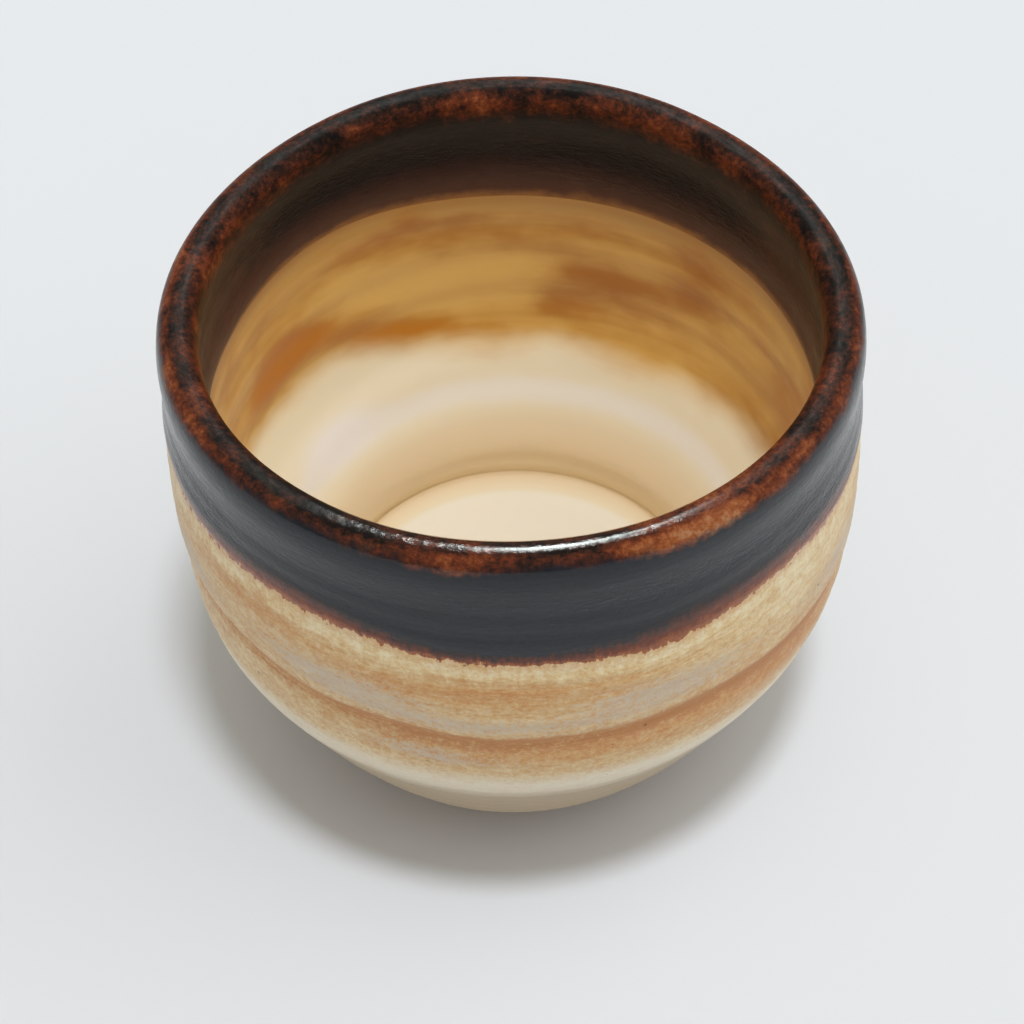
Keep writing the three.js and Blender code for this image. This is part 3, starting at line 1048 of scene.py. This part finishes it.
# Floor, lamps and camera
studio = {
    "floorTone": (0.77, 0.805, 0.84, 1.0),
    "floorSize": 40.0,
    "skyStrength": 0.2,
    "skyTone": (1.0, 0.95, 0.86, 1.0),
    "domeStrength": 1.0,
    "domeSpread": 150.0,
    "domeTone": (1.0, 0.95, 0.86),
    "domeFrom": (0.0, 0.0, 1.0),
    "keyStrength": 1.36,
    "keyTone": (0.97, 1.0, 1.06),
    "keySpread": 9.0,
    "keyFrom": (2.6, -5.85, 36.0),
    "sideStrength": 0.6,
    "sideTone": (1.0, 1.0, 1.0),
    "sideSpread": 70.0,
    "sideFrom": (9.0, 2.0, 7.0),
    "lampDistance": 1.0,
    # panes behind the cup: degrees to the right, width, rise and height in degrees, brightness
    "windowPanes": [(1.0, 8.4, 49.5, 8.0, 20.0), (2.6, 5.4, 49.5, 8.0, 42.0)],
    "windowTone": (0.92, 1.0, 0.98),
    "windowDistance": 0.7,
}


def makeFloor():
    bm = bmesh.new()
    bmesh.ops.create_grid(bm, x_segments=1, y_segments=1, size=studio["floorSize"] / 2)
    mesh = bpy.data.meshes.new("floor")
    bm.to_mesh(mesh)
    bm.free()
    floor = bpy.data.objects.new("floor", mesh)
    scene.collection.objects.link(floor)
    finish = Finish(bpy.data.materials.new("paleFloor"))
    shader = finish.node("ShaderNodeBsdfDiffuse", sockets={"Color": studio["floorTone"]})
    finish.node("ShaderNodeOutputMaterial", sockets={"Surface": shader})
    mesh.materials.append(finish.owner)


# A lamp shines on the cup from this direction, or it only gleams on the glaze
def placeLamp(lamp, direction, distance, gleams):
    holder = bpy.data.objects.new(lamp.name, lamp)
    scene.collection.objects.link(holder)
    aim = Vector((0, 0, thrown["height"] * mm))
    turned = direction.to_track_quat("Z", "Y").to_matrix().to_4x4()
    holder.matrix_world = Matrix.Translation(aim + direction.normalized() * distance) @ turned
    holder.visible_camera = False
    holder.visible_diffuse = not gleams
    holder.visible_glossy = gleams


def makeLight():
    world = bpy.data.worlds.new("softSky")
    scene.world = world
    sky = Finish(world)
    glow = sky.node(
        "ShaderNodeBackground", sockets={"Color": studio["skyTone"], "Strength": studio["skyStrength"]}
    )
    sky.node("ShaderNodeOutputWorld", sockets={"Surface": glow})
    for name in ("dome", "key", "side"):
        lamp = bpy.data.lights.new(name, "SUN")
        lamp.energy = studio[name + "Strength"]
        lamp.color = studio[name + "Tone"]
        lamp.angle = math.radians(studio[name + "Spread"])
        placeLamp(lamp, Vector(studio[name + "From"]), studio["lampDistance"], False)
    far = studio["windowDistance"]
    for right, wide, rise, tall, glow in studio["windowPanes"]:
        pane = bpy.data.lights.new("windowPane", "AREA")
        pane.shape = "RECTANGLE"
        pane.size = 2 * far * math.tan(math.radians(wide / 2)) * math.cos(math.radians(rise))
        pane.size_y = 2 * far * math.tan(math.radians(tall / 2))
        pane.energy = glow * math.pi * pane.size * pane.size_y
        pane.color = studio["windowTone"]
        pane.cycles.max_bounces = 0
        aside, up = math.radians(right), math.radians(rise)
        direction = Vector((math.sin(aside) * math.cos(up), math.cos(aside) * math.cos(up), math.sin(up)))
        placeLamp(pane, direction, far, True)


viewpoint = {
    "place": (0.0, -183.45, 231.44),
    "forward": (-0.00168, 0.663, -0.74862),
    "roll": -0.016,
    "focalPixels": 2700,
    "imagePixels": 1024,
    "sensor": 36.0,
    "nearest": 0.01,
}


def makeCamera():
    lens = bpy.data.cameras.new("viewpoint")
    lens.sensor_width = viewpoint["sensor"]
    lens.lens = viewpoint["focalPixels"] / viewpoint["imagePixels"] * viewpoint["sensor"]
    lens.clip_start = viewpoint["nearest"]
    camera = bpy.data.objects.new("viewpoint", lens)
    scene.collection.objects.link(camera)
    turned = Vector(viewpoint["forward"]).to_track_quat("-Z", "Y").to_matrix().to_4x4()
    placed = Matrix.Translation(Vector(viewpoint["place"]) * mm)
    camera.matrix_world = placed @ turned @ Matrix.Rotation(viewpoint["roll"], 4, "Z")
    scene.camera = camera


makeFloor()
makeLight()
makeCamera()
print("floor, lamps and camera placed")
